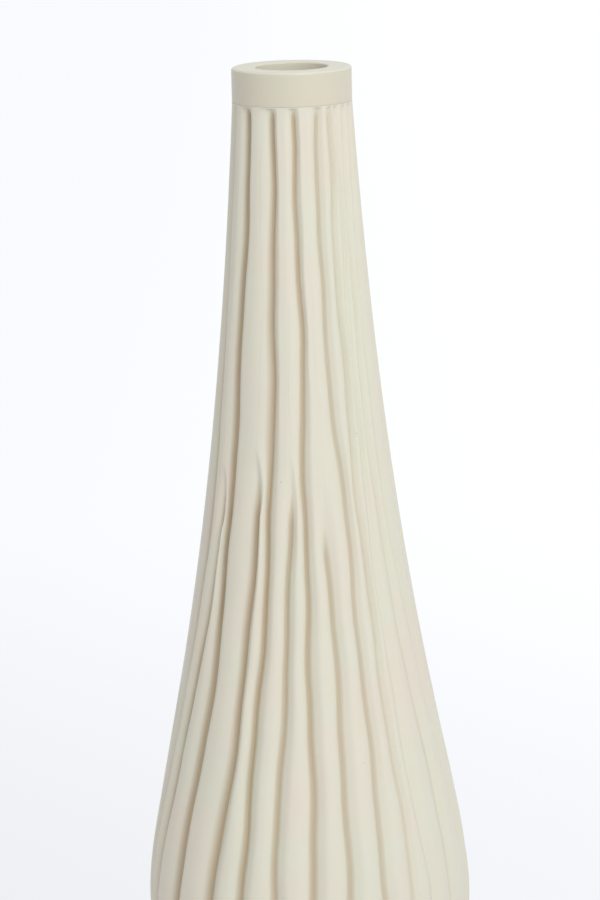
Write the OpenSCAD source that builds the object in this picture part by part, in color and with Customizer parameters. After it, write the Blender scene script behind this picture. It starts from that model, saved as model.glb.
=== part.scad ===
// Tall bottle vase in carved stoneware: a ribbed belly and neck, a plain
// collar ring round the mouth, a base slab and four felt pads.
// Millimetres, +Z up, origin on the table under the middle of the foot.

/* [Outline] */
// Height of the whole vase, pads included
total_h = 500; // [450:2:550]
// Largest radius, over the rib crests
belly_r = 77; // [70:0.5:84]
// Height of the largest radius
belly_z = 103; // [92:1:114]
// Radius over the rib crests just under the collar
neck_r = 28; // [26.5:0.25:31]
// Outward lean of the wall just under the collar, in degrees
neck_lean = 3.3; // [2:0.1:4.5]
// Reach of that lean down the neck, as a curve handle
neck_reach = 258; // [225:1:275]
// Reach of the upright wall above the widest point, as a curve handle
shoulder_reach = 50; // [35:1:65]
// Reach of the upright wall below the widest point, as a curve handle
hip_reach = 44; // [30:1:55]
// Radius of the body where it stands on the base slab
foot_r = 48; // [44:0.5:54]
// Outward lean of the wall where it leaves the base slab, in degrees
foot_lean = 35; // [20:1:45]
// Reach of that lean up the wall, as a curve handle
foot_reach = 16; // [8:1:24]

/* [Wall] */
// Thickness of the fired wall, from a rib crest to the inside
wall = 10; // [9.5:0.25:11]
// Height of the seam where the neck is set on the belly
seam_z = 300; // [260:2:330]
// Length of the tongue under the neck that stands in the belly
tongue_l = 9; // [5:0.5:14]
// Thickness of that tongue
tongue_t = 2.2; // [1.6:0.1:2.8]
// Gap left for slip all round a joint
slip_gap = 0.15; // [0.05:0.05:0.3]

/* [Ribs] */
// Depth of a groove at the belly
belly_groove_d = 4.4; // [3:0.1:5.5]
// Depth of a groove at the top of the neck
neck_groove_d = 3.5; // [2:0.1:4.4]
// Widest left side of a rib at the belly
belly_left_w = 6.5; // [5:0.1:8]
// Widest left side of a rib at the top of the neck
neck_left_w = 4.6; // [3.6:0.1:5.6]
// Largest share of a rib's width that its left side takes
left_side_share = 0.4; // [0.3:0.01:0.5]
// Sideways wander of a groove
wander = 0.6; // [0:0.1:1.2]
// Length of one swing of that wander
wander_l = 104; // [80:2:160]
// Length over which a groove runs out at the collar and the foot
run_out = 7; // [4:0.5:12]
// Plain strip left between a groove's end and the collar or the foot
plain_end = 0.5; // [0.2:0.1:1.5]
// Length over which a later groove deepens where it starts
start_l = 34; // [20:1:60]
// Spacing of the cross-sections along the neck
neck_row = 17; // [15:0.5:22]
// Spacing of the cross-sections along the belly
belly_row = 13; // [12:0.5:18]

/* [Collar] */
// Radius of the collar
collar_r = 28; // [26.5:0.25:31]
// Height of the collar above its seat
collar_h = 16; // [12:0.5:24]
// Radius of the mouth
mouth_r = 17; // [15:0.25:18]
// Length of the spigot that stands in the neck
spigot_l = 10; // [6:0.5:16]
// Wall of that spigot
spigot_t = 3; // [2:0.1:3.4]
// Rounding of the collar's upper edge
collar_round = 1.3; // [0.5:0.1:2]
// Rounding of the mouth's edge
edge_round = 0.7; // [0.3:0.1:1]
// Rounding of the collar's lower edge, where it meets the neck
joint_round = 0.3; // [0.1:0.05:0.5]

/* [Base] */
// Thickness of the base slab outside the body
slab_t = 6; // [4:0.5:9]
// Height of the boss on the slab that stands in the body
boss_h = 5; // [3:0.5:8]
// Radius of the opening in the body's floor, round the boss
boss_r = 35; // [30:0.5:37]
// Rounding of the slab's lower edge
slab_round = 1.6; // [0.8:0.1:2.5]
// How far the slab's lower edge draws in under the body
slab_draw = 2; // [1:0.1:3]

/* [Pads] */
// Number of felt pads
pad_n = 4; // [4]
// Radius of a pad
pad_r = 8; // [5:0.5:9]
// Thickness of a pad
pad_t = 2; // [1:0.25:3]
// Distance of a pad's middle from the vase's axis
pad_ring_r = 32; // [26:0.5:34]
// Rounding of a pad's lower edge
pad_round = 0.4; // [0.2:0.1:0.5]

/* [Hidden] */

glaze = "#ddd9c9";
bare_clay = "#cfc4ae";
felt = "#8c8880";

// Levels, from the table up
slab_z = pad_t;
body_z = slab_z + slab_t;
boss_z = body_z + boss_h;
collar_z = total_h - collar_h;
spigot_z = collar_z - spigot_l;
tongue_z = seam_z - tongue_l;

// Overrun of the carved skin past its ends, and of a cut past that
over = 1;
// Radius of a cut that takes off a whole end
clear_r = belly_r + over;
// Number of sides of a turned outline's arcs, and of its curved stretches
arc_n = 6;
curve_n = 14;
$fn = 96;

// Outer outline: two curves that meet upright at the widest point. Each is
// four [radius, height] handles.
upper_curve = [
    [neck_r, collar_z],
    [neck_r + neck_reach * tan(neck_lean), collar_z - neck_reach],
    [belly_r, belly_z + shoulder_reach],
    [belly_r, belly_z]];
lower_curve = [
    [belly_r, belly_z],
    [belly_r, belly_z - hip_reach],
    [foot_r + foot_reach * tan(foot_lean), body_z + foot_reach],
    [foot_r, body_z]];

function on_curve(c, t) =
    pow(1 - t, 3) * c[0] + 3 * t * pow(1 - t, 2) * c[1] + 3 * t * t * (1 - t) * c[2] + pow(t, 3) * c[3];

// Place on a falling curve at height z, by halving
function find_t(c, z, low = 0, high = 1, steps = 18) =
    let (mid = (low + high) / 2)
    steps == 0 ? mid
    : on_curve(c, mid)[1] > z ? find_t(c, z, mid, high, steps - 1)
    : find_t(c, z, low, mid, steps - 1);

// Radius over the rib crests at height z
function crest_r(z) =
    let (c = z > belly_z ? upper_curve : lower_curve)
    on_curve(c, find_t(c, z))[0];

// Radius of the inside at height z
function inside_r(z) = crest_r(z) - wall;

// Grooves, in order round the vase. Each row is where the groove starts, as a
// share of the total height, how deep it is as a share of a full groove, and
// the share of a full turn at which its bottom lies at each of the heights below.
// Nought is the front, and the turn runs to the right.
groove_height_shares = [0.96, 0.78, 0.59, 0.39, 0.21, 0.02];
groove_shares = [
    [0.43, 1.00, -0.235, -0.235, -0.236, -0.240, -0.262, -0.270],
    [1.00, 1.20, -0.199, -0.204, -0.199, -0.212, -0.228, -0.236],
    [0.64, 1.20, -0.164, -0.164, -0.155, -0.187, -0.209, -0.214],
    [1.00, 1.20, -0.135, -0.143, -0.142, -0.145, -0.164, -0.170],
    [0.66, 1.05, -0.084, -0.080, -0.079, -0.092, -0.111, -0.117],
    [1.00, 1.00, -0.056, -0.053, -0.056, -0.066, -0.075, -0.079],
    [0.65, 0.90, -0.018, -0.016, -0.018, -0.030, -0.038, -0.041],
    [1.00, 0.92, 0.001, 0.010, 0.006, 0.006, 0.004, 0.003],
    [0.62, 0.85, 0.036, 0.036, 0.041, 0.044, 0.040, 0.038],
    [1.00, 0.80, 0.068, 0.062, 0.080, 0.081, 0.080, 0.081],
    [1.00, 0.65, 0.106, 0.102, 0.105, 0.110, 0.114, 0.117],
    [1.00, 0.50, 0.130, 0.124, 0.125, 0.128, 0.140, 0.148],
    [1.00, 0.60, 0.157, 0.146, 0.149, 0.168, 0.177, 0.184],
    [1.00, 0.60, 0.192, 0.174, 0.176, 0.203, 0.218, 0.225],
    [1.00, 0.80, 0.236, 0.226, 0.225, 0.240, 0.254, 0.258],
    [0.56, 0.90, 0.266, 0.262, 0.266, 0.279, 0.289, 0.291],
    [1.00, 1.00, 0.297, 0.297, 0.306, 0.318, 0.322, 0.324],
    [0.66, 0.90, 0.330, 0.328, 0.340, 0.352, 0.357, 0.359],
    [1.00, 1.00, 0.361, 0.364, 0.377, 0.389, 0.394, 0.396],
    [0.50, 0.90, 0.391, 0.394, 0.409, 0.424, 0.432, 0.433],
    [1.00, 1.00, 0.422, 0.430, 0.446, 0.461, 0.469, 0.470],
    [1.00, 1.00, 0.478, 0.480, 0.492, 0.504, 0.511, 0.510],
    [0.61, 0.90, 0.511, 0.513, 0.526, 0.542, 0.549, 0.549],
    [1.00, 1.00, 0.544, 0.548, 0.561, 0.582, 0.588, 0.587],
    [1.00, 0.90, 0.594, 0.597, 0.610, 0.625, 0.627, 0.624],
    [1.00, 1.00, 0.656, 0.658, 0.662, 0.668, 0.666, 0.661],
    [0.58, 0.90, 0.691, 0.693, 0.692, 0.697, 0.686, 0.679],
    [1.00, 1.00, 0.728, 0.730, 0.728, 0.726, 0.704, 0.696]];
groove_n = len(groove_shares);

// Depth of a groove and width of a rib's left side grow from the neck to the belly with the radius
function swell_share(r) = max(0, min(1, (r - neck_r) / (belly_r - neck_r)));
function groove_d(r) = neck_groove_d + (belly_groove_d - neck_groove_d) * swell_share(r);
function left_w(r) = neck_left_w + (belly_left_w - neck_left_w) * swell_share(r);

// Smooth run through four neighbouring values
function smooth_run(a, b, c, d, t) =
    b + t / 2 * (c - a + t * (2 * a - 5 * b + 4 * c - d + t * (3 * (b - c) + d - a)));

// Share of a turn of groove i at height z, before its wander
function drawn_turn(i, z) =
    let (s = z / total_h,
         last = len(groove_height_shares) - 1,
         k = max([0, for (j = [0 : last - 1]) if (groove_height_shares[j] >= s) j]),
         high = groove_height_shares[k],
         low = groove_height_shares[k + 1],
         t = max(0, min(1, (high - s) / (high - low))),
         at = function (j) groove_shares[i][2 + max(0, min(last, j))])
    smooth_run(at(k - 1), at(k), at(k + 1), at(k + 2), t);

// Two swings of different length, out of step from groove to groove
groove_step = 137.5;
short_swing_share = 0.41;
short_size_share = 0.35;
function wander_at(i, z) =
    wander * (sin(360 * z / wander_l + i * groove_step)
              + short_size_share * sin(360 * z / (wander_l * short_swing_share) + 2 * i * groove_step));
function groove_turn(i, z, r) = drawn_turn(i, z) + wander_at(i, z) / (2 * PI * r);

// How far groove i has begun at height z, and its strength, which is rounded off at both ends
function rounded_share(x) = x <= 0 ? 0 : x >= 1 ? 1 : sqrt(1 - pow(1 - x, 2));
function begun_share(i, z) =
    let (start = groove_shares[i][0])
    start == 1 ? 1 : max(0, min(1, (start * total_h - z) / start_l));
function groove_share(i, z) =
    groove_shares[i][1] * begun_share(i, z) * rounded_share((collar_z - plain_end - z) / run_out)
    * rounded_share((z - body_z - plain_end) / run_out);

// Share of a groove's depth on a rib's side, from the groove's bottom to the crest. The
// left side is nearly straight and the right side is round.
left_power = 1.3;
right_power = 3.4;
function side_share(x, power) = pow(max(0, 1 - x), power);

// Columns of the carved skin: each groove's bottom, each rib's crest, and these shares of
// the way from the crest to the next groove
right_column_shares = [0.4, 0.68, 0.86];
last_crest_share = 0.8;

// One cross-section of the carved skin, as points round the vase. Rib j lies left of
// groove j, and reaches over the groove on its own left until that has begun.
function section(z) =
    let (r = crest_r(z),
         arc = 2 * PI * r,
         count = [-2 : groove_n + 2],
         turns = [for (i = count) groove_turn((i + groove_n) % groove_n, z, r) + floor(i / groove_n)],
         cuts = [for (i = count) groove_d(r) * groove_share((i + groove_n) % groove_n, z)],
         begun = [for (i = count) begun_share((i + groove_n) % groove_n, z)],
         ribs = [for (j = [2 : groove_n + 4])
             arc * (turns[j] - turns[j - 1] + (1 - begun[j - 1]) * (turns[j - 1] - turns[j - 2]))],
         lefts = [for (rib = ribs) min(left_w(r), left_side_share * rib)],
         rights = ribs - lefts)
    [for (i = [0 : groove_n - 1])
        let (gap_share = turns[i + 3] - turns[i + 2],
             crest_share = min(last_crest_share, lefts[i + 1] / (arc * gap_share)))
        for (s = [0, crest_share, for (t = right_column_shares) crest_share + (1 - crest_share) * t])
            let (turn = turns[i + 2] + s * gap_share,
                 cut = max(
                     cuts[i + 2] * side_share(arc * (turn - turns[i + 2]) / lefts[i + 1], left_power),
                     cuts[i + 3] * side_share(arc * (turns[i + 3] - turn) / rights[i + 1], right_power),
                     cuts[i + 4] * side_share(arc * (turns[i + 4] - turn) / rights[i + 2], right_power)))
            [(r - cut) * sin(360 * turn), -(r - cut) * cos(360 * turn), z]];

// Closed skin through cross-sections from the lowest to the highest
module carved(levels) {
    rings = [for (z = levels) section(z)];
    n = len(rings[0]);
    last = len(levels) - 1;
    polyhedron(
        points = [for (ring = rings) each ring],
        faces = [
            [for (j = [0 : n - 1]) j],
            [for (j = [0 : n - 1]) last * n + n - 1 - j],
            for (i = [0 : last - 1], j = [0 : n - 1])
                let (a = i * n + j, b = i * n + (j + 1) % n)
                each [[a, a + n, b + n], [a, b + n, b]]],
        convexity = 8);
}

// Levels from low to high, evenly spaced at about the step given
function levels(low, high, step) =
    let (n = round((high - low) / step))
    [for (i = [0 : n]) low + (high - low) * i / n];

// Levels through a groove's rounded end, as shares of the run-out from the end inwards
end_shares = [0, 0.06, 0.25, 0.55];
foot_end_z = body_z + plain_end;
collar_end_z = collar_z - plain_end;
foot_levels = [for (s = end_shares) foot_end_z + s * run_out];
collar_levels = [for (i = [len(end_shares) - 1 : -1 : 0]) collar_end_z - end_shares[i] * run_out];

// Both pieces have these two cross-sections, on either side of the seam
seam_low_z = seam_z - neck_row / 2;
seam_high_z = seam_z + neck_row / 2;

// Quarter round from angle a, about a corner's centre
function corner(x, z, r, a) =
    [for (i = [0 : arc_n]) [x + r * cos(a + 90 * i / arc_n), z + r * sin(a + 90 * i / arc_n)]];

// Inside outline from one height to another, following the outer one
function inside_line(low, high) =
    [for (i = [0 : curve_n]) let (z = low + (high - low) * i / curve_n) [inside_r(z), z]];

// One turned cut leaves each carved piece: it squares both ends and opens the inside
module neck_body() {
    tongue_r = inside_r(seam_z) + tongue_t;
    socket_r = mouth_r + spigot_t + slip_gap;
    socket_z = spigot_z - slip_gap;
    low_z = tongue_z - 2 * over;
    high_z = collar_z + 2 * over;
    color(glaze)
    difference() {
        carved(concat(
            [tongue_z - over, seam_low_z],
            levels(seam_high_z, collar_end_z - run_out, neck_row), collar_levels, [collar_z + over]));
        rotate_extrude()
            polygon(concat(
                [[0, low_z], [clear_r, low_z], [clear_r, seam_z], [tongue_r, seam_z],
                 [tongue_r, tongue_z], [inside_r(seam_z), tongue_z]],
                inside_line(seam_z, socket_z),
                [[socket_r, socket_z], [socket_r, collar_z], [clear_r, collar_z],
                 [clear_r, high_z], [0, high_z]]));
    }
}

module belly_body() {
    opening_r = boss_r + slip_gap;
    socket_r = inside_r(seam_z) + tongue_t + slip_gap;
    socket_z = tongue_z - slip_gap;
    low_z = body_z - 2 * over;
    high_z = seam_high_z + over;
    color(glaze)
    difference() {
        carved(concat(
            [body_z - over], foot_levels,
            levels(foot_end_z + run_out, seam_low_z, belly_row), [seam_high_z]));
        rotate_extrude()
            polygon(concat(
                [[0, low_z], [clear_r, low_z], [clear_r, body_z], [opening_r, body_z],
                 [opening_r, boss_z]],
                inside_line(boss_z, socket_z),
                [[socket_r, socket_z], [socket_r, seam_z], [clear_r, seam_z],
                 [clear_r, high_z], [0, high_z]]));
    }
}

module collar_ring() {
    color(glaze)
    rotate_extrude()
        polygon(concat(
            [[mouth_r, spigot_z], [mouth_r + spigot_t, spigot_z], [mouth_r + spigot_t, collar_z]],
            corner(collar_r - joint_round, collar_z + joint_round, joint_round, -90),
            corner(collar_r - collar_round, total_h - collar_round, collar_round, 0),
            corner(mouth_r + edge_round, total_h - edge_round, edge_round, 90)));
}

module base_slab() {
    lower_r = foot_r - slab_draw;
    color(bare_clay)
    rotate_extrude()
        polygon(concat(
            [[0, slab_z]],
            corner(lower_r - slab_round, slab_z + slab_round, slab_round, -90),
            [[foot_r, body_z], [boss_r, body_z], [boss_r, boss_z], [0, boss_z]]));
}

module foot_pad(place) {
    turn = 360 * (place - 0.5) / pad_n;
    color(felt)
    rotate(turn)
    translate([pad_ring_r, 0, 0])
    rotate_extrude()
        polygon(concat(
            [[0, 0]],
            corner(pad_r - pad_round, pad_round, pad_round, -90),
            [[pad_r, pad_t], [0, pad_t]]));
}

neck_body();
belly_body();
collar_ring();
base_slab();
foot_pad(1);  // foot_pad_1
foot_pad(2);  // foot_pad_2
foot_pad(3);  // foot_pad_3
foot_pad(4);  // foot_pad_4
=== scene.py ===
import math

import bmesh
import bpy
import numpy as np
from mathutils import Matrix, Vector


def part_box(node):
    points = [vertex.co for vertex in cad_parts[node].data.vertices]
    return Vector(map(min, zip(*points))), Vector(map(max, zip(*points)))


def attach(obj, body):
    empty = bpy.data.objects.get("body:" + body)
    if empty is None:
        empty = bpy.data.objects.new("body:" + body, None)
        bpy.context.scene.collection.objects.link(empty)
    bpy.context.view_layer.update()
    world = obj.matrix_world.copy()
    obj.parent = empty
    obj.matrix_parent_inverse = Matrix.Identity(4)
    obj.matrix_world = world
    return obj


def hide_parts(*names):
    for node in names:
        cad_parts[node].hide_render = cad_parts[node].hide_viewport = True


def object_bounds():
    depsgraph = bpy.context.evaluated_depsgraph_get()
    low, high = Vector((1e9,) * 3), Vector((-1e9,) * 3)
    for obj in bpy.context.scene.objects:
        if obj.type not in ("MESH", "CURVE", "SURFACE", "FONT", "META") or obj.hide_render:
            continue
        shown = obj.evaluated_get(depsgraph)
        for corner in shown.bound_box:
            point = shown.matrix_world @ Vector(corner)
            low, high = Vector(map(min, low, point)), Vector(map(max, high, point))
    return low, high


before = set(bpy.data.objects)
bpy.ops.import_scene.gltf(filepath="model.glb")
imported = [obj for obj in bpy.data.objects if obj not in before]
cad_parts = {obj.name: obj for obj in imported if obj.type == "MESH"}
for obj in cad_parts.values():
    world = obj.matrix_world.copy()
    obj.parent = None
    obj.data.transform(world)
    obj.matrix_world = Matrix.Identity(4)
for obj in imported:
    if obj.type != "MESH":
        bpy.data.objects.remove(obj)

cad_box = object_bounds()

# Carved body: the neck and the belly. Each is a thrown stoneware section with a
# wall of 10 mm. They are luted with slip, and the ribs are then cut through both
# with a loop tool, from under the collar to the foot.
MM = 0.001
HEIGHT = cad_box[1].z
COLLAR_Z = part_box("neck_body")[1].z
SEAM_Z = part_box("belly_body")[1].z
BODY_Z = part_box("belly_body")[0].z
TONGUE_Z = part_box("neck_body")[0].z
SPIGOT_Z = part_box("collar_ring")[0].z
BOSS_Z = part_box("base_slab")[1].z
NECK_R = 28 * MM
BELLY_R = 77 * MM
BELLY_Z = 103 * MM
FOOT_R = 48 * MM
WALL = 10 * MM
TONGUE_T = 2.2 * MM
SLIP_GAP = 0.15 * MM
MOUTH_R = 17 * MM
SPIGOT_WALL = 3 * MM
SPIGOT_R = MOUTH_R + SPIGOT_WALL
BOSS_R = 35 * MM

# Outer outline as two curves of four [radius, height] handles, upright where they
# meet. A reach is how far up or down a handle lies from its end of the curve, and
# a lean is the outline's angle from upright there.
NECK_REACH = 258 * MM
SHOULDER_REACH = 50 * MM
HIP_REACH = 44 * MM
FOOT_REACH = 16 * MM
NECK_LEAN = math.radians(3.3)
FOOT_LEAN = math.radians(35)
OUTLINE_N = 801
UPPER_CURVE = [
    (NECK_R, COLLAR_Z),
    (NECK_R + NECK_REACH * math.tan(NECK_LEAN), COLLAR_Z - NECK_REACH),
    (BELLY_R, BELLY_Z + SHOULDER_REACH),
    (BELLY_R, BELLY_Z)]
LOWER_CURVE = [
    (BELLY_R, BELLY_Z),
    (BELLY_R, BELLY_Z - HIP_REACH),
    (FOOT_R + FOOT_REACH * math.tan(FOOT_LEAN), BODY_Z + FOOT_REACH),
    (FOOT_R, BODY_Z)]


def on_curve(handles, t):
    """Radius and height at places t along a curve with four handles."""
    a, b, c, d = (np.array(handle)[:, None] for handle in handles)
    return a * (1 - t) ** 3 + 3 * b * t * (1 - t) ** 2 + 3 * c * t * t * (1 - t) + d * t ** 3


falling = np.linspace(1, 0, OUTLINE_N)
outline = np.hstack([on_curve(LOWER_CURVE, falling), on_curve(UPPER_CURVE, falling)])


def crest_r(z):
    """Radius over the rib crests at height z."""
    return np.interp(z, outline[1], outline[0])


# Grooves in order round the vase. Each row is where the groove starts, as a
# share of the height, how deep it is as a share of a full groove, and the share
# of a turn at which it lies at each height below: nought is the front, and the
# turn runs to the right.
GROOVE_HEIGHT_SHARES = np.array([0.96, 0.78, 0.59, 0.39, 0.21, 0.02])
GROOVE_SHARES = [
    (0.43, 1.00, -0.235, -0.235, -0.236, -0.240, -0.262, -0.270),
    (1.00, 1.20, -0.199, -0.204, -0.199, -0.212, -0.228, -0.236),
    (0.64, 1.20, -0.164, -0.164, -0.155, -0.187, -0.209, -0.214),
    (1.00, 1.20, -0.135, -0.143, -0.142, -0.145, -0.164, -0.170),
    (0.66, 1.05, -0.084, -0.080, -0.079, -0.092, -0.111, -0.117),
    (1.00, 1.00, -0.056, -0.053, -0.056, -0.066, -0.075, -0.079),
    (0.65, 0.90, -0.018, -0.016, -0.018, -0.030, -0.038, -0.041),
    (1.00, 0.92, 0.001, 0.010, 0.006, 0.006, 0.004, 0.003),
    (0.62, 0.85, 0.036, 0.036, 0.041, 0.044, 0.040, 0.038),
    (1.00, 0.80, 0.068, 0.062, 0.080, 0.081, 0.080, 0.081),
    (1.00, 0.65, 0.106, 0.102, 0.105, 0.110, 0.114, 0.117),
    (1.00, 0.50, 0.130, 0.124, 0.125, 0.128, 0.140, 0.148),
    (1.00, 0.60, 0.157, 0.146, 0.149, 0.168, 0.177, 0.184),
    (1.00, 0.60, 0.192, 0.174, 0.176, 0.203, 0.218, 0.225),
    (1.00, 0.80, 0.236, 0.226, 0.225, 0.240, 0.254, 0.258),
    (0.56, 0.90, 0.266, 0.262, 0.266, 0.279, 0.289, 0.291),
    (1.00, 1.00, 0.297, 0.297, 0.306, 0.318, 0.322, 0.324),
    (0.66, 0.90, 0.330, 0.328, 0.340, 0.352, 0.357, 0.359),
    (1.00, 1.00, 0.361, 0.364, 0.377, 0.389, 0.394, 0.396),
    (0.50, 0.90, 0.391, 0.394, 0.409, 0.424, 0.432, 0.433),
    (1.00, 1.00, 0.422, 0.430, 0.446, 0.461, 0.469, 0.470),
    (1.00, 1.00, 0.478, 0.480, 0.492, 0.504, 0.511, 0.510),
    (0.61, 0.90, 0.511, 0.513, 0.526, 0.542, 0.549, 0.549),
    (1.00, 1.00, 0.544, 0.548, 0.561, 0.582, 0.588, 0.587),
    (1.00, 0.90, 0.594, 0.597, 0.610, 0.625, 0.627, 0.624),
    (1.00, 1.00, 0.656, 0.658, 0.662, 0.668, 0.666, 0.661),
    (0.58, 0.90, 0.691, 0.693, 0.692, 0.697, 0.686, 0.679),
    (1.00, 1.00, 0.728, 0.730, 0.728, 0.726, 0.704, 0.696)]
GROOVE_N = len(GROOVE_SHARES)

# The hand's sideways wander along a cut: a long swing and, as shares of its length
# and size, a short one. The step is the angle in degrees between two grooves' swings.
WANDER = 0.6 * MM
WANDER_L = 104 * MM
SHORT_SWING_SHARE = 0.41
SHORT_SIZE_SHARE = 0.35
GROOVE_STEP = 137.5

# A cut runs out over a short length at the collar and the foot, and stops just
# short of both. One that starts below the collar deepens over a longer start.
RUN_OUT = 7 * MM
PLAIN_END = 0.5 * MM
START_L = 34 * MM


def drawn_turn(i, z):
    """Share of a turn of groove i at heights z, on a smooth run through its row's values."""
    last = len(GROOVE_HEIGHT_SHARES) - 1
    row = np.array(GROOVE_SHARES[i][2:])
    s = z / HEIGHT
    k = np.clip(np.searchsorted(-GROOVE_HEIGHT_SHARES, -s, side="right") - 1, 0, last - 1)
    high = GROOVE_HEIGHT_SHARES[k]
    low = GROOVE_HEIGHT_SHARES[k + 1]
    t = np.clip((high - s) / (high - low), 0, 1)
    a, b, c, d = (row[np.clip(k + n, 0, last)] for n in (-1, 0, 1, 2))
    return b + t / 2 * (c - a + t * (2 * a - 5 * b + 4 * c - d + t * (3 * (b - c) + d - a)))


def groove_turn(i, z):
    """Share of a turn of groove i's bottom at heights z, with its wander."""
    long_swing = np.sin(np.radians(360 * z / WANDER_L + i * GROOVE_STEP))
    short_l = WANDER_L * SHORT_SWING_SHARE
    short_swing = np.sin(np.radians(360 * z / short_l + 2 * i * GROOVE_STEP))
    wander = WANDER * (long_swing + SHORT_SIZE_SHARE * short_swing)
    return drawn_turn(i, z) + wander / (2 * math.pi * crest_r(z))


def rounded_share(x):
    """Quarter round from nought to one."""
    return np.sqrt(1 - (1 - np.clip(x, 0, 1)) ** 2)


def groove_begun(i, z):
    """How far groove i has begun at heights z, from nought to one."""
    start = GROOVE_SHARES[i][0]
    return z * 0 + 1 if start == 1 else np.clip((start * HEIGHT - z) / START_L, 0, 1)


def groove_strength(i, z):
    """Groove i's depth at heights z, as a share of a full groove."""
    top_end = rounded_share((COLLAR_Z - PLAIN_END - z) / RUN_OUT)
    foot_end = rounded_share((z - BODY_Z - PLAIN_END) / RUN_OUT)
    return GROOVE_SHARES[i][1] * groove_begun(i, z) * top_end * foot_end


# The groove just left of a point, and the two to its right
NEAREST = (0, 1, 2)

# Columns of points from one groove to the next, and how closely they crowd towards
# the grooves: nought would space them evenly
COLUMNS = 20
CROWDING = 0.35


def thrown_section(name, rings):
    """A closed thrown wall through rings of [height, radius].

    A radius of None is the outer wall, to be carved. The columns follow the grooves and crowd round
    them. For each of its nearest grooves, a point holds how far right of it the point lies, how deep
    the groove is there, and how wide the rib to the groove's left is.
    """
    z = np.array([ring[0] for ring in rings])
    radius = np.array([crest_r(ring[0]) if ring[1] is None else ring[1] for ring in rings])
    outer = np.array([ring[1] is None for ring in rings], float)
    inside = np.clip(z, BODY_Z, COLLAR_Z)

    # The grooves are listed a little past both ends of the turn, so that each has neighbours
    lead = len(NEAREST) - 1
    listed = range(-lead, GROOVE_N + len(NEAREST))
    turns = np.array([groove_turn(i % GROOVE_N, inside) + i // GROOVE_N for i in listed]).T
    strengths = np.array([groove_strength(i % GROOVE_N, inside) for i in listed]).T
    begun = np.array([groove_begun(i % GROOVE_N, inside) for i in listed]).T
    gaps = 2 * math.pi * crest_r(inside)[:, None] * np.diff(turns)
    t = np.arange(COLUMNS) / COLUMNS
    column_shares = t - CROWDING * np.sin(2 * math.pi * t) / (2 * math.pi)
    here = np.arange(GROOVE_N) + lead
    gap = turns[:, here + 1] - turns[:, here]
    turn = turns[:, here, None] + gap[:, :, None] * column_shares
    angle = 2 * math.pi * turn
    r = radius[:, None, None]
    points = np.stack([r * np.sin(angle), -r * np.cos(angle), z[:, None, None] + 0 * angle], axis=-1)
    column_n = GROOVE_N * COLUMNS
    corner = np.arange(len(rings))[:, None] * column_n + np.arange(column_n)
    right = np.roll(corner, -1, axis=1)
    above = np.roll(corner, -1, axis=0)
    above_right = np.roll(right, -1, axis=0)
    faces = np.stack([corner, right, above_right, above], axis=-1).reshape(-1, 4)
    mesh = bpy.data.meshes.new(name)
    mesh.from_pydata(points.reshape(-1, 3).tolist(), [], faces.tolist())
    for n in NEAREST:
        across = 2 * math.pi * crest_r(inside)[:, None, None] * (turn - turns[:, here + n, None])
        strength = strengths[:, here + n, None] * outer[:, None, None] + 0 * turn
        last = here + n - 1
        rib = (gaps[:, last] + (1 - begun[:, last]) * gaps[:, last - 1])[:, :, None] + 0 * turn
        for label, values in (("across", across), ("strength", strength), ("rib", rib)):
            attribute = mesh.attributes.new(f"{label}_{n}", "FLOAT", "POINT")
            attribute.data.foreach_set("value", values.ravel().astype(np.float32))
    return mesh


def levels(low, high, step):
    """Heights from low to high, about a step apart."""
    return np.linspace(low, high, max(2, round((high - low) / step) + 1))


# Height from one ring to the next: along the ribs, at their ends, and inside
ROW = 2.2 * MM
END_ROW = 0.4 * MM
HOLLOW_ROW = 14 * MM


def wall_rings(heights):
    """Rings of the outer wall."""
    return [(z, None) for z in heights]


def hollow_rings(low, high):
    """Rings of the inside, from the top down."""
    return [(z, crest_r(z) - WALL) for z in levels(low, high, HOLLOW_ROW)[::-1]]


# Between these heights the ribs have their full depth
full_top = COLLAR_Z - PLAIN_END - RUN_OUT
full_foot = BODY_Z + PLAIN_END + RUN_OUT
tongue_r = crest_r(SEAM_Z) - WALL + TONGUE_T
spigot_socket_r = SPIGOT_R + SLIP_GAP
neck_rings = (
    wall_rings(levels(SEAM_Z, full_top, ROW)) + wall_rings(levels(full_top, COLLAR_Z, END_ROW)[1:])
    + [(COLLAR_Z, spigot_socket_r), (SPIGOT_Z - SLIP_GAP, spigot_socket_r)]
    + hollow_rings(SEAM_Z, SPIGOT_Z - SLIP_GAP)
    + [(TONGUE_Z, crest_r(SEAM_Z) - WALL), (TONGUE_Z, tongue_r), (SEAM_Z, tongue_r)])
belly_rings = (
    wall_rings(levels(BODY_Z, full_foot, END_ROW)) + wall_rings(levels(full_foot, SEAM_Z, ROW)[1:])
    + [(SEAM_Z, tongue_r + SLIP_GAP), (TONGUE_Z - SLIP_GAP, tongue_r + SLIP_GAP)]
    + hollow_rings(BOSS_Z, TONGUE_Z - SLIP_GAP)
    + [(BOSS_Z, BOSS_R + SLIP_GAP), (BODY_Z, BOSS_R + SLIP_GAP)])


def node(tree, kind, inputs=None, **settings):
    """Adds a node, sets its properties, and fills its inputs with values or with other nodes' sockets."""
    new = tree.nodes.new(kind)
    for key, value in settings.items():
        setattr(new, key, value)
    for key, value in (inputs or {}).items():
        if isinstance(value, bpy.types.NodeSocket):
            tree.links.new(value, new.inputs[key])
        else:
            new.inputs[key].default_value = value
    return new


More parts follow.
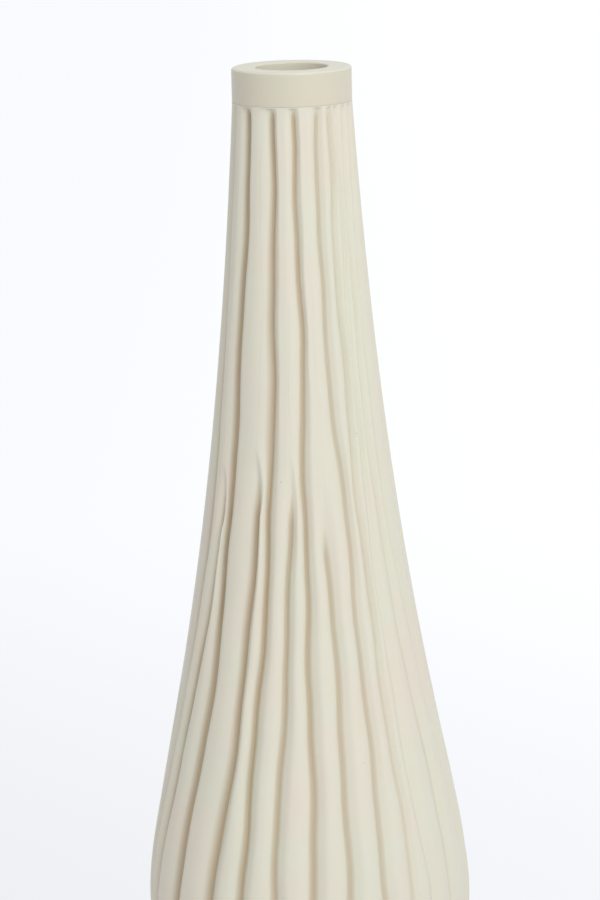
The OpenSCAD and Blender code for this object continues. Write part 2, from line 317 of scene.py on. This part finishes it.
# What the loop tool cuts. A rib's left side rises steeply over a share of its
# width, up to a greatest width. Its right side takes the rest, nearly flat at
# first, and turns down into the next groove. Each roundness is the power of its
# side's curve. A pooling spread under one carries the pooled tone up the sides;
# that tone is partly real pooled glaze and partly painted shade in the grooves.
CARVING = {
    "Belly groove depth": 4.4 * MM,
    "Neck groove depth": 3.5 * MM,
    "Belly left side": 6.5 * MM,
    "Neck left side": 4.6 * MM,
    "Left side share": 0.4,
    "Left roundness": 1.3,
    "Right roundness": 3.4,
    "Neck radius": NECK_R,
    "Belly radius": BELLY_R,
    "Groove bottom radius": 0.6 * MM,
    "Crest softness": 0.05,
    "Pooling and shade spread": 0.6,
    "Tool wobble": 0.6 * MM,
    "Tool wobble length": 18 * MM,
    "Surface unevenness": 0.14 * MM,
    "Surface unevenness length": 13 * MM,
    "Seed": 4.0,
}


def carving_tree():
    """Cuts the ribs into a thrown section, from the distances, strengths and widths on its points."""
    tree = bpy.data.node_groups.new("Carve ribs", "GeometryNodeTree")
    tree.interface.new_socket("Geometry", in_out="INPUT", socket_type="NodeSocketGeometry")
    for label in CARVING:
        tree.interface.new_socket(label, in_out="INPUT", socket_type="NodeSocketFloat")
    tree.interface.new_socket("Glaze", in_out="INPUT", socket_type="NodeSocketMaterial")
    tree.interface.new_socket("Geometry", in_out="OUTPUT", socket_type="NodeSocketGeometry")
    given = node(tree, "NodeGroupInput").outputs
    place = node(tree, "GeometryNodeInputPosition").outputs[0]
    level = node(tree, "ShaderNodeVectorMath", {0: place, 1: (1, 1, 0)}, operation="MULTIPLY").outputs[0]
    radius = node(tree, "ShaderNodeVectorMath", {0: level}, operation="LENGTH").outputs["Value"]
    outward = node(tree, "ShaderNodeVectorMath", {0: level}, operation="NORMALIZE").outputs[0]

    # The groove's depth and the rib's widest left side grow with the radius
    depth, left_w = (
        node(tree, "ShaderNodeMapRange",
             {"Value": radius, "From Min": given["Neck radius"], "From Max": given["Belly radius"],
              "To Min": given[f"Neck {size}"], "To Max": given[f"Belly {size}"]}).outputs[0]
        for size in ("groove depth", "left side"))

    # Two fine swings: the tool's from side to side, and the surface's in and out
    swings = []
    for size in ("Tool wobble", "Surface unevenness"):
        length = given[f"{size} length"]
        scale = node(tree, "ShaderNodeMath", {0: 1.0, 1: length}, operation="DIVIDE").outputs[0]
        swing = node(tree, "ShaderNodeTexNoise", {"Vector": place, "Scale": scale, "W": given["Seed"]},
                     noise_dimensions="4D").outputs[0]
        swing = node(tree, "ShaderNodeMath", {0: swing, 1: given[size]}, operation="MULTIPLY").outputs[0]
        swings.append(swing)
    wobble, uneven = swings

    # How deep each groove cuts here, as a share of its depth: the one to the left
    # with the rib's left side, and those to the right with their ribs' right sides
    cuts = []
    for n in NEAREST:
        across, strength, rib = (
            node(tree, "GeometryNodeInputNamedAttribute", {"Name": name}, data_type="FLOAT").outputs[0]
            for name in (f"across_{n}", f"strength_{n}", f"rib_{max(n, 1)}"))
        across = node(tree, "ShaderNodeMath", {0: across, 1: wobble}, operation="ADD").outputs[0]
        bottom = node(tree, "ShaderNodeCombineXYZ", {0: across, 1: given["Groove bottom radius"]}).outputs[0]
        eased = node(tree, "ShaderNodeVectorMath", {0: bottom}, operation="LENGTH").outputs["Value"]
        eased = node(tree, "ShaderNodeMath", {0: eased, 1: given["Groove bottom radius"]},
                     operation="SUBTRACT").outputs[0]
        share = given["Left side share"]
        width = node(tree, "ShaderNodeMath", {0: rib, 1: share}, operation="MULTIPLY").outputs[0]
        width = node(tree, "ShaderNodeMath", {0: left_w, 1: width}, operation="MINIMUM").outputs[0]
        if n > 0:
            width = node(tree, "ShaderNodeMath", {0: rib, 1: width}, operation="SUBTRACT").outputs[0]
        run = node(tree, "ShaderNodeMath", {0: eased, 1: width}, operation="DIVIDE").outputs[0]
        side = node(tree, "ShaderNodeMath", {0: 1.0, 1: run},
                    operation="SUBTRACT", use_clamp=True).outputs[0]
        roundness = given["Right roundness" if n > 0 else "Left roundness"]
        side = node(tree, "ShaderNodeMath", {0: side, 1: roundness}, operation="POWER").outputs[0]
        cuts.append(node(tree, "ShaderNodeMath", {0: side, 1: strength}, operation="MULTIPLY").outputs[0])

    # The crest between two sides is softened. That lifts the cut a little, even where
    # nothing is cut, so it is lowered again by a quarter of the softness.
    right_side = node(tree, "ShaderNodeMath", {0: cuts[1], 1: cuts[2]}, operation="MAXIMUM").outputs[0]
    soft = given["Crest softness"]
    cut = node(tree, "ShaderNodeMath", {0: cuts[0], 1: right_side, 2: soft},
               operation="SMOOTH_MAX").outputs[0]
    lowered = node(tree, "ShaderNodeMath", {0: soft, 1: 4.0}, operation="DIVIDE").outputs[0]
    cut = node(tree, "ShaderNodeMath", {0: cut, 1: lowered},
               operation="SUBTRACT", use_clamp=True).outputs[0]

    # The unevenness fades with the groove to the left, and leaves the inside as it is
    near = node(tree, "GeometryNodeInputNamedAttribute", {"Name": "strength_0"},
                data_type="FLOAT").outputs[0]
    uneven = node(tree, "ShaderNodeMath", {0: uneven, 1: near}, operation="MULTIPLY").outputs[0]
    inward = node(tree, "ShaderNodeMath", {0: depth, 1: cut, 2: uneven}, operation="MULTIPLY_ADD").outputs[0]
    inward = node(tree, "ShaderNodeMath", {0: inward, 1: -1.0}, operation="MULTIPLY").outputs[0]
    offset = node(tree, "ShaderNodeVectorMath", {0: outward, "Scale": inward}, operation="SCALE").outputs[0]
    carved = node(tree, "GeometryNodeSetPosition",
                  {"Geometry": given["Geometry"], "Offset": offset}).outputs[0]
    # The groove's share of the pooled tone: real pooled glaze and painted shade in the grooves
    pooled_glaze_and_shade = node(tree, "ShaderNodeMath", {0: cut, 1: given["Pooling and shade spread"]}, operation="POWER").outputs[0]
    marked = node(tree, "GeometryNodeStoreNamedAttribute",
                  {"Geometry": carved, "Name": "groove", "Value": pooled_glaze_and_shade},
                  data_type="FLOAT", domain="POINT").outputs[0]
    smooth = node(tree, "GeometryNodeSetShadeSmooth", {"Geometry": marked}).outputs[0]
    real = node(tree, "GeometryNodeRealizeInstances", {"Geometry": smooth}).outputs[0]
    glazed = node(tree, "GeometryNodeSetMaterial", {"Geometry": real, "Material": given["Glaze"]}).outputs[0]
    node(tree, "NodeGroupOutput", {"Geometry": glazed})
    return tree


def linear(hex_colour):
    """Linear colour of an sRGB hex value."""
    parts = [int(hex_colour[n:n + 2], 16) / 255 for n in (1, 3, 5)]
    return [p / 12.92 if p <= 0.04045 else ((p + 0.055) / 1.055) ** 2.4 for p in parts] + [1.0]


def new_material(name):
    """A node material with its shader joined to the output, and the place that its patterns follow."""
    material = bpy.data.materials.new(name)
    material.use_nodes = True
    tree = material.node_tree
    tree.nodes.clear()
    shader = node(tree, "ShaderNodeBsdfPrincipled")
    node(tree, "ShaderNodeOutputMaterial", {"Surface": shader.outputs[0]})
    place = node(tree, "ShaderNodeTexCoord").outputs["Object"]
    return material, tree, shader, place


# The glaze's colours, and the lengths over which its tone drifts and its skin
# ripples. The darker pooled tone in the grooves is partly real pooled glaze and
# partly painted shade; it shows from the level named FROM below on, and would be
# whole at the one named WHOLE.
GLAZE_TONES = ("#dfdfcd", "#e2dccc")
GLAZE_TONE_ENDS = (0.35, 0.65)
# Pooled tone: partly real pooled glaze, partly painted shade in the grooves
POOLED_AND_SHADE_TONE = "#b0976f"
POOLED_AND_SHADE_FROM = 0.64
POOLED_AND_SHADE_WHOLE = 1.1
POOLED_AND_SHADE_MOST = 0.95
DRIFT_L = 38 * MM
RIPPLE_L = 2.2 * MM
RIPPLE_DEPTH = 0.04 * MM
SMOOTHEST = 0.40
ROUGHEST = 0.50

# Specks lie in cells of this size. Their core and their edge are shares of a cell,
# and only cells whose own number is over SPECK_CHOICE have one.
SPECK_TONE = "#8f7d68"
SPECK_CELL = 9 * MM
SPECK_CORE_SHARE = 0.025
SPECK_EDGE_SHARE = 0.05
SPECK_CHOICE = 0.86
SPECK_STRENGTH = 0.35


def satin_glaze():
    """Satin cream glaze on pale stoneware, sprayed and fired: a soft sheen, faint drifts of greener and
    warmer cream, a darker tone in the grooves that is partly pooled glaze and partly painted shade, and a
    rare speck or pinhole."""
    material, tree, shader, place = new_material("satin_cream_glaze")
    drift = node(tree, "ShaderNodeTexNoise", {"Vector": place, "Scale": 1 / DRIFT_L, "Detail": 2.0})
    tone = node(tree, "ShaderNodeValToRGB", {"Fac": drift.outputs[0]})
    for stop, end, colour in zip(tone.color_ramp.elements, GLAZE_TONE_ENDS, GLAZE_TONES):
        stop.position = end
        stop.color = linear(colour)
    groove = node(tree, "ShaderNodeAttribute", attribute_name="groove")
    # Painted shade and real pooling: the grooves take the darker pooled tone
    pooled_and_shaded = node(tree, "ShaderNodeMapRange",
                  {"Value": groove.outputs["Fac"], "From Min": POOLED_AND_SHADE_FROM, "From Max": POOLED_AND_SHADE_WHOLE,
                   "To Max": POOLED_AND_SHADE_MOST})
    warm = node(tree, "ShaderNodeMix",
                {"Factor": pooled_and_shaded.outputs[0], "A": tone.outputs[0], "B": linear(POOLED_AND_SHADE_TONE)},
                data_type="RGBA")
    cells = node(tree, "ShaderNodeTexVoronoi", {"Vector": place, "Scale": 1 / SPECK_CELL})
    speck = node(tree, "ShaderNodeMapRange",
                 {"Value": cells.outputs["Distance"], "From Min": SPECK_CORE_SHARE,
                  "From Max": SPECK_EDGE_SHARE, "To Min": 1.0, "To Max": 0.0})
    number = node(tree, "ShaderNodeSeparateColor", {0: cells.outputs["Color"]})
    chosen = node(tree, "ShaderNodeMath", {0: number.outputs[0], 1: SPECK_CHOICE}, operation="GREATER_THAN")
    speckled = node(tree, "ShaderNodeMath", {0: speck.outputs[0], 1: chosen.outputs[0]},
                    operation="MULTIPLY")
    freckle = node(tree, "ShaderNodeMath", {0: speckled.outputs[0], 1: SPECK_STRENGTH},
                   operation="MULTIPLY")
    freckled = node(tree, "ShaderNodeMix",
                    {"Factor": freckle.outputs[0], "A": warm.outputs["Result"], "B": linear(SPECK_TONE)},
                    data_type="RGBA")
    ripple = node(tree, "ShaderNodeTexNoise", {"Vector": place, "Scale": 1 / RIPPLE_L, "Detail": 3.0})
    pinholed = node(tree, "ShaderNodeMath", {0: ripple.outputs[0], 1: speckled.outputs[0]},
                    operation="SUBTRACT")
    bump = node(tree, "ShaderNodeBump",
                {"Strength": 0.5, "Distance": RIPPLE_DEPTH, "Height": pinholed.outputs[0]})
    roughness = node(tree, "ShaderNodeMapRange",
                     {"Value": drift.outputs[0], "To Min": SMOOTHEST, "To Max": ROUGHEST})
    for key, value in (("Base Color", freckled.outputs["Result"]), ("Roughness", roughness.outputs[0]),
                       ("Normal", bump.outputs[0])):
        tree.links.new(value, shader.inputs[key])
    shader.inputs["IOR"].default_value = 1.5
    shader.inputs["Coat Weight"].default_value = 0.25
    shader.inputs["Coat Roughness"].default_value = 0.2
    return material


def set_in_place(name, mesh, stands_for):
    """Puts a finished mesh in the scene as a piece, in place of its CAD node."""
    piece = bpy.data.objects.new(name, mesh)
    bpy.context.scene.collection.objects.link(piece)
    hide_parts(stands_for)
    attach(piece, "root")


glaze = satin_glaze()
carve = carving_tree()

# A carved edge that turns more than this is shaded sharp
CARVED_SHARP = math.radians(60)


def carved_piece(name, rings, stands_for):
    """Cuts the ribs into a thrown section, and sets it in place as a plain mesh."""
    thrown = bpy.data.objects.new(f"{name}_thrown", thrown_section(name, rings))
    bpy.context.scene.collection.objects.link(thrown)
    modifier = thrown.modifiers.new("Carve ribs", "NODES")
    modifier.node_group = carve
    values = {**CARVING, "Glaze": glaze}
    for item in carve.interface.items_tree:
        if item.in_out == "INPUT" and item.name in values:
            modifier[item.identifier] = values[item.name]
    graph = bpy.context.evaluated_depsgraph_get()
    mesh = bpy.data.meshes.new_from_object(thrown.evaluated_get(graph))
    bpy.data.objects.remove(thrown)
    mesh.set_sharp_from_angle(angle=CARVED_SHARP)
    mesh.name = name
    set_in_place(name, mesh, stands_for)


carved_piece("carved_neck", neck_rings, "neck_body")
carved_piece("carved_belly", belly_rings, "belly_body")

# Collar: a plain turned ring of the same glazed stoneware. Its spigot stands in
# the neck with slip, and its edges are sponged round before firing.
COLLAR_R = 28 * MM
COLLAR_ROUND = 1.3 * MM
MOUTH_ROUND = 0.7 * MM
JOINT_ROUND = 0.3 * MM
COLLAR_STEP = 2 * MM
# Share of painted shade on the collar's side
SIDE_SHADE = 0.73

# Round pieces: faces in a quarter round and in a whole turn, how near two points
# are joined, and the angle over which an edge is shaded sharp
ARC_N = 8
TURNED_N = 288
JOIN_D = 0.001 * MM
TURNED_SHARP = math.radians(40)


def quarter_round(x, z, r, start):
    """Points of a quarter round about its centre, from an angle in degrees."""
    angles = [math.radians(start + 90 * i / ARC_N) for i in range(ARC_N + 1)]
    return [(x + r * math.cos(a), z + r * math.sin(a)) for a in angles]


def refined(points, step):
    """An outline with points added so that none lie more than a step apart."""
    fine = []
    for (x, z), (next_x, next_z) in zip(points, points[1:] + points[:1]):
        n = max(1, math.ceil(math.dist((x, z), (next_x, next_z)) / step))
        fine += [(x + (next_x - x) * i / n, z + (next_z - z) * i / n) for i in range(n)]
    return fine


def turned(name, points, material, closed=True):
    """An outline of [radius, height] points spun about the axis, as a closed mesh that faces outwards.

    An outline that starts and ends on the axis isn't closed itself.
    """
    bm = bmesh.new()
    made = [bm.verts.new((x, 0, z)) for x, z in points]
    pairs = list(zip(made, made[1:] + made[:1])) if closed else list(zip(made, made[1:]))
    edges = [bm.edges.new(pair) for pair in pairs]
    bmesh.ops.spin(bm, geom=made + edges, cent=(0, 0, 0), axis=(0, 0, 1), angle=2 * math.pi,
                   steps=TURNED_N, use_merge=True)
    bmesh.ops.remove_doubles(bm, verts=bm.verts, dist=JOIN_D)
    bmesh.ops.recalc_face_normals(bm, faces=bm.faces)
    mesh = bpy.data.meshes.new(name)
    bm.to_mesh(mesh)
    bm.free()
    mesh.polygons.foreach_set("use_smooth", [True] * len(mesh.polygons))
    mesh.set_sharp_from_angle(angle=TURNED_SHARP)
    mesh.materials.append(material)
    return mesh


collar_outline = (
    [(MOUTH_R, SPIGOT_Z), (SPIGOT_R, SPIGOT_Z), (SPIGOT_R, COLLAR_Z)]
    + quarter_round(COLLAR_R - JOINT_ROUND, COLLAR_Z + JOINT_ROUND, JOINT_ROUND, -90)
    + quarter_round(COLLAR_R - COLLAR_ROUND, HEIGHT - COLLAR_ROUND, COLLAR_ROUND, 0)
    + quarter_round(MOUTH_R + MOUTH_ROUND, HEIGHT - MOUTH_ROUND, MOUTH_ROUND, 90))
collar_mesh = turned("collar", refined(collar_outline, COLLAR_STEP), glaze)

# Painted shade: the collar's side, below its rounded top edge, takes a little of the darker pooled tone
places = np.array([vertex.co for vertex in collar_mesh.vertices])
outside = np.hypot(places[:, 0], places[:, 1]) > COLLAR_R - COLLAR_ROUND
below_edge = places[:, 2] < HEIGHT - COLLAR_ROUND / 2
side_shade = (SIDE_SHADE * (outside & below_edge)).astype(np.float32)
collar_mesh.attributes.new("groove", "FLOAT", "POINT").data.foreach_set("value", side_shade)
set_in_place("collar", collar_mesh, "collar_ring")

# Base slab: a turned disc of the same clay, left bare where the vase stands. A
# boss on it stands in the opening in the belly's floor, with slip.
SLAB_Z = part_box("base_slab")[0].z
SLAB_ROUND = 1.6 * MM
SLAB_DRAW = 2 * MM
SLAB_STEP = 3 * MM

# The clay's colours, the width of a sponge's wipe, and the sizes of its grog and
# sand. A grain's core and edge are shares of the distance between two grains.
CLAY_TONES = ("#c9bca2", "#d8cdb8")
CLAY_TONE_ENDS = (0.3, 0.7)
WIPE_W = 22 * MM
GROG_TONE = "#a08a6c"
GROG_SPACING = 1.1 * MM
GRAIN_CORE_SHARE = 0.08
GRAIN_EDGE_SHARE = 0.22
GRAIN_STRENGTH = 0.5
SAND_L = 0.7 * MM
SAND_DEPTH = 0.12 * MM


def bare_stoneware():
    """Unglazed stoneware, turned and sponged: matt, buff, sandy with fine grog, and darker where wiped."""
    material, tree, shader, place = new_material("bare_buff_stoneware")
    wiped = node(tree, "ShaderNodeTexNoise", {"Vector": place, "Scale": 1 / WIPE_W, "Detail": 4.0})
    tone = node(tree, "ShaderNodeValToRGB", {"Fac": wiped.outputs[0]})
    for stop, end, colour in zip(tone.color_ramp.elements, CLAY_TONE_ENDS, CLAY_TONES):
        stop.position = end
        stop.color = linear(colour)
    grog = node(tree, "ShaderNodeTexVoronoi", {"Vector": place, "Scale": 1 / GROG_SPACING})
    grain = node(tree, "ShaderNodeMapRange",
                 {"Value": grog.outputs["Distance"], "From Min": GRAIN_CORE_SHARE,
                  "From Max": GRAIN_EDGE_SHARE, "To Min": GRAIN_STRENGTH, "To Max": 0.0})
    grained = node(tree, "ShaderNodeMix",
                   {"Factor": grain.outputs[0], "A": tone.outputs[0], "B": linear(GROG_TONE)},
                   data_type="RGBA")
    sand = node(tree, "ShaderNodeTexNoise", {"Vector": place, "Scale": 1 / SAND_L, "Detail": 3.0})
    bump = node(tree, "ShaderNodeBump",
                {"Strength": 0.8, "Distance": SAND_DEPTH, "Height": sand.outputs[0]})
    for key, value in (("Base Color", grained.outputs["Result"]), ("Normal", bump.outputs[0])):
        tree.links.new(value, shader.inputs[key])
    shader.inputs["Roughness"].default_value = 0.85
    return material


lower_r = FOOT_R - SLAB_DRAW
slab_outline = (
    [(0, SLAB_Z)] + quarter_round(lower_r - SLAB_ROUND, SLAB_Z + SLAB_ROUND, SLAB_ROUND, -90)
    + [(FOOT_R, BODY_Z), (BOSS_R, BODY_Z), (BOSS_R, BOSS_Z), (0, BOSS_Z)])
slab_mesh = turned("foot_slab", refined(slab_outline, SLAB_STEP), bare_stoneware(), closed=False)
set_in_place("foot_slab", slab_mesh, "base_slab")

# Felt pads: four discs cut from pressed grey wool felt with a glued back, so
# that the foot doesn't scratch the table. Each is soft and rounded at its lower edge.
PAD_N = 4
PAD_SOFTNESS = 0.5 * MM
PAD_STEP = 0.5 * MM

# The felt's greys. One wool fibre is too fine to show, so its tufts are drawn.
FELT_TONES = ("#726e67", "#a09b92")
FELT_TONE_ENDS = (0.3, 0.7)
TUFT_L = 0.8 * MM
TUFT_LIFT = 0.15 * MM


def pressed_felt():
    """Pressed wool felt: fully matt, with tufts of matted fibres that mottle its grey and stand a
    little proud."""
    material, tree, shader, place = new_material("pressed_grey_felt")
    tufts = node(tree, "ShaderNodeTexNoise",
                 {"Vector": place, "Scale": 1 / TUFT_L, "Detail": 5.0, "Distortion": 2.5})
    tone = node(tree, "ShaderNodeValToRGB", {"Fac": tufts.outputs[0]})
    for stop, end, colour in zip(tone.color_ramp.elements, FELT_TONE_ENDS, FELT_TONES):
        stop.position = end
        stop.color = linear(colour)
    bump = node(tree, "ShaderNodeBump",
                {"Strength": 1.0, "Distance": TUFT_LIFT, "Height": tufts.outputs[0]})
    for key, value in (("Base Color", tone.outputs[0]), ("Normal", bump.outputs[0])):
        tree.links.new(value, shader.inputs[key])
    shader.inputs["Roughness"].default_value = 0.95
    shader.inputs["Sheen Weight"].default_value = 0.3
    return material


felt = pressed_felt()
for pad_n in range(1, PAD_N + 1):
    low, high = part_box(f"foot_pad_{pad_n}")
    middle = (low + high) / 2
    pad_r = (high.x - low.x) / 2
    pad_outline = (
        [(0, low.z)] + quarter_round(pad_r - PAD_SOFTNESS, low.z + PAD_SOFTNESS, PAD_SOFTNESS, -90)
        + [(pad_r, high.z), (0, high.z)])
    pad_mesh = turned(f"felt_pad_{pad_n}", refined(pad_outline, PAD_STEP), felt, closed=False)
    pad_mesh.transform(Matrix.Translation((middle.x, middle.y, 0)))
    set_in_place(f"felt_pad_{pad_n}", pad_mesh, f"foot_pad_{pad_n}")

# Camera: a long lens two metres in front of the vase's axis and 22 cm above its
# rim. It looks down a little, and a small roll leans the vase in the picture.
CAMERA_DISTANCE = 2.0
CAMERA_HEIGHT = 0.7208
CAMERA_PITCH = math.radians(11.384)
CAMERA_ROLL = math.radians(-1.3)
LENS_MM = 172.65
SENSOR_MM = 36
FARTHEST_SEEN = 40
camera_data = bpy.data.cameras.new("camera")
camera_data.lens = LENS_MM
camera_data.sensor_fit = "VERTICAL"
camera_data.sensor_height = SENSOR_MM
camera_data.sensor_width = SENSOR_MM
camera_data.clip_end = FARTHEST_SEEN
camera = bpy.data.objects.new("camera", camera_data)
camera.matrix_world = (
    Matrix.Translation((0, -CAMERA_DISTANCE, CAMERA_HEIGHT))
    @ Matrix.Rotation(math.pi / 2 - CAMERA_PITCH, 4, "X") @ Matrix.Rotation(CAMERA_ROLL, 4, "Z"))
bpy.context.scene.collection.objects.link(camera)
bpy.context.scene.camera = camera

# Floor: a pale sheet of studio card under the vase. To the camera it is nearly
# white whatever light falls on it, a little brighter far off and on the right,
# and it keeps the vase's soft shadow.
FLOOR_R = 9.0
FLOOR_SIDES = 96

# How far the card is lifted to white. The white's level goes from near to far over
# these places along Y, and a little is taken off on the left and added on the right;
# these changes in the white are painted light.
CARD_COLOUR = "#eeeef1"
CARD_WHITE = "#fafcff"
CARD_LIFT = 0.9
NEAR_Y = 0.1
FAR_Y = 1.4
NEAR_LEVEL = 0.95
FAR_LEVEL = 1.07
SIDE_X = 0.2
SIDE_LEVEL = 0.035


def studio_card():
    """Matt white card: plain diffuse, lifted towards white for the camera and for reflections."""
    material, tree, shader, place = new_material("matt_white_card")
    shader.inputs["Base Color"].default_value = linear(CARD_COLOUR)
    shader.inputs["Roughness"].default_value = 1.0
    shader.inputs["Specular IOR Level"].default_value = 0.0
    rays = node(tree, "ShaderNodeLightPath").outputs
    seen = node(tree, "ShaderNodeMath",
                {0: rays["Is Camera Ray"], 1: rays["Is Glossy Ray"]}, operation="MAXIMUM")
    lift = node(tree, "ShaderNodeMath", {0: seen.outputs[0], 1: CARD_LIFT}, operation="MULTIPLY")
    spot = node(tree, "ShaderNodeSeparateXYZ", {0: place}).outputs
    # Painted light: the card's white is brighter far off and on the right
    far_off = node(tree, "ShaderNodeMapRange",
                   {"Value": spot["Y"], "From Min": NEAR_Y, "From Max": FAR_Y,
                    "To Min": NEAR_LEVEL, "To Max": FAR_LEVEL},
                   interpolation_type="SMOOTHSTEP")
    to_right = node(tree, "ShaderNodeMapRange",
                    {"Value": spot["X"], "From Min": -SIDE_X, "From Max": SIDE_X,
                     "To Min": -SIDE_LEVEL, "To Max": SIDE_LEVEL})
    level = node(tree, "ShaderNodeMath", {0: far_off.outputs[0], 1: to_right.outputs[0]}, operation="ADD")
    white = node(tree, "ShaderNodeEmission", {"Color": linear(CARD_WHITE), "Strength": level.outputs[0]})
    mixed = node(tree, "ShaderNodeMixShader",
                 {0: lift.outputs[0], 1: shader.outputs[0], 2: white.outputs[0]})
    output = next(n for n in tree.nodes if n.type == "OUTPUT_MATERIAL")
    tree.links.new(mixed.outputs[0], output.inputs["Surface"])
    return material


floor_mesh = bpy.data.meshes.new("floor")
bm = bmesh.new()
bmesh.ops.create_circle(bm, cap_ends=True, segments=FLOOR_SIDES, radius=FLOOR_R)
bm.to_mesh(floor_mesh)
bm.free()
floor_mesh.materials.append(studio_card())
floor = bpy.data.objects.new("floor", floor_mesh)
bpy.context.scene.collection.objects.link(floor)

# Light: a large softbox to the right of the camera, and the soft light of a
# white room that is brighter on the same side.
SOFTBOX_AZIMUTH = math.radians(25)
SOFTBOX_RISE = math.radians(40)
SOFTBOX_DISTANCE = 1.9
SOFTBOX_SIDE = 0.9
AIM_SHARE = 0.55

# What the softbox alone makes of a white card that faces it, where one is white
SOFTBOX_CARD_LEVEL = 0.32

towards = Vector((
    math.sin(SOFTBOX_AZIMUTH) * math.cos(SOFTBOX_RISE),
    -math.cos(SOFTBOX_AZIMUTH) * math.cos(SOFTBOX_RISE),
    math.sin(SOFTBOX_RISE)))
softbox_data = bpy.data.lights.new("softbox", "AREA")
softbox_data.shape = "SQUARE"
softbox_data.size = SOFTBOX_SIDE
softbox_data.energy = SOFTBOX_CARD_LEVEL * math.pi ** 2 * SOFTBOX_DISTANCE ** 2
softbox = bpy.data.objects.new("softbox", softbox_data)
facing = towards.to_track_quat("Z", "Y").to_matrix().to_4x4()
aim = Vector((0, 0, AIM_SHARE * HEIGHT))
softbox.matrix_world = Matrix.Translation(aim + towards * SOFTBOX_DISTANCE) @ facing
bpy.context.scene.collection.objects.link(softbox)

# The room's brightest side, and its light there and on the opposite side
ROOM_COLOUR = "#fdfbfb"
ROOM_AZIMUTH = math.radians(35)
ROOM_BRIGHTEST = 0.91
ROOM_DIMMEST = 0.36

room = bpy.data.worlds.new("white_room")
room.use_nodes = True
air = room.node_tree
air.nodes.clear()
rays = node(air, "ShaderNodeLightPath").outputs
seen = node(air, "ShaderNodeMath",
            {0: rays["Is Camera Ray"], 1: rays["Is Glossy Ray"]}, operation="MAXIMUM")
seen = node(air, "ShaderNodeMath",
            {0: seen.outputs[0], 1: rays["Is Transmission Ray"]}, operation="MAXIMUM")
direction = node(air, "ShaderNodeTexCoord").outputs["Generated"]
bright_side = (math.sin(ROOM_AZIMUTH), -math.cos(ROOM_AZIMUTH), 0)
nearness = node(air, "ShaderNodeVectorMath", {0: direction, 1: bright_side}, operation="DOT_PRODUCT")
lit = node(air, "ShaderNodeMapRange",
           {"Value": nearness.outputs["Value"], "From Min": -1.0,
            "To Min": ROOM_DIMMEST, "To Max": ROOM_BRIGHTEST})
strength = node(air, "ShaderNodeMapRange", {"Value": seen.outputs[0], "To Min": lit.outputs[0]})
background = node(air, "ShaderNodeBackground",
                  {"Color": linear(ROOM_COLOUR), "Strength": strength.outputs[0]})
node(air, "ShaderNodeOutputWorld", {"Surface": background.outputs[0]})
bpy.context.scene.world = room
bpy.context.scene.view_settings.view_transform = "Standard"
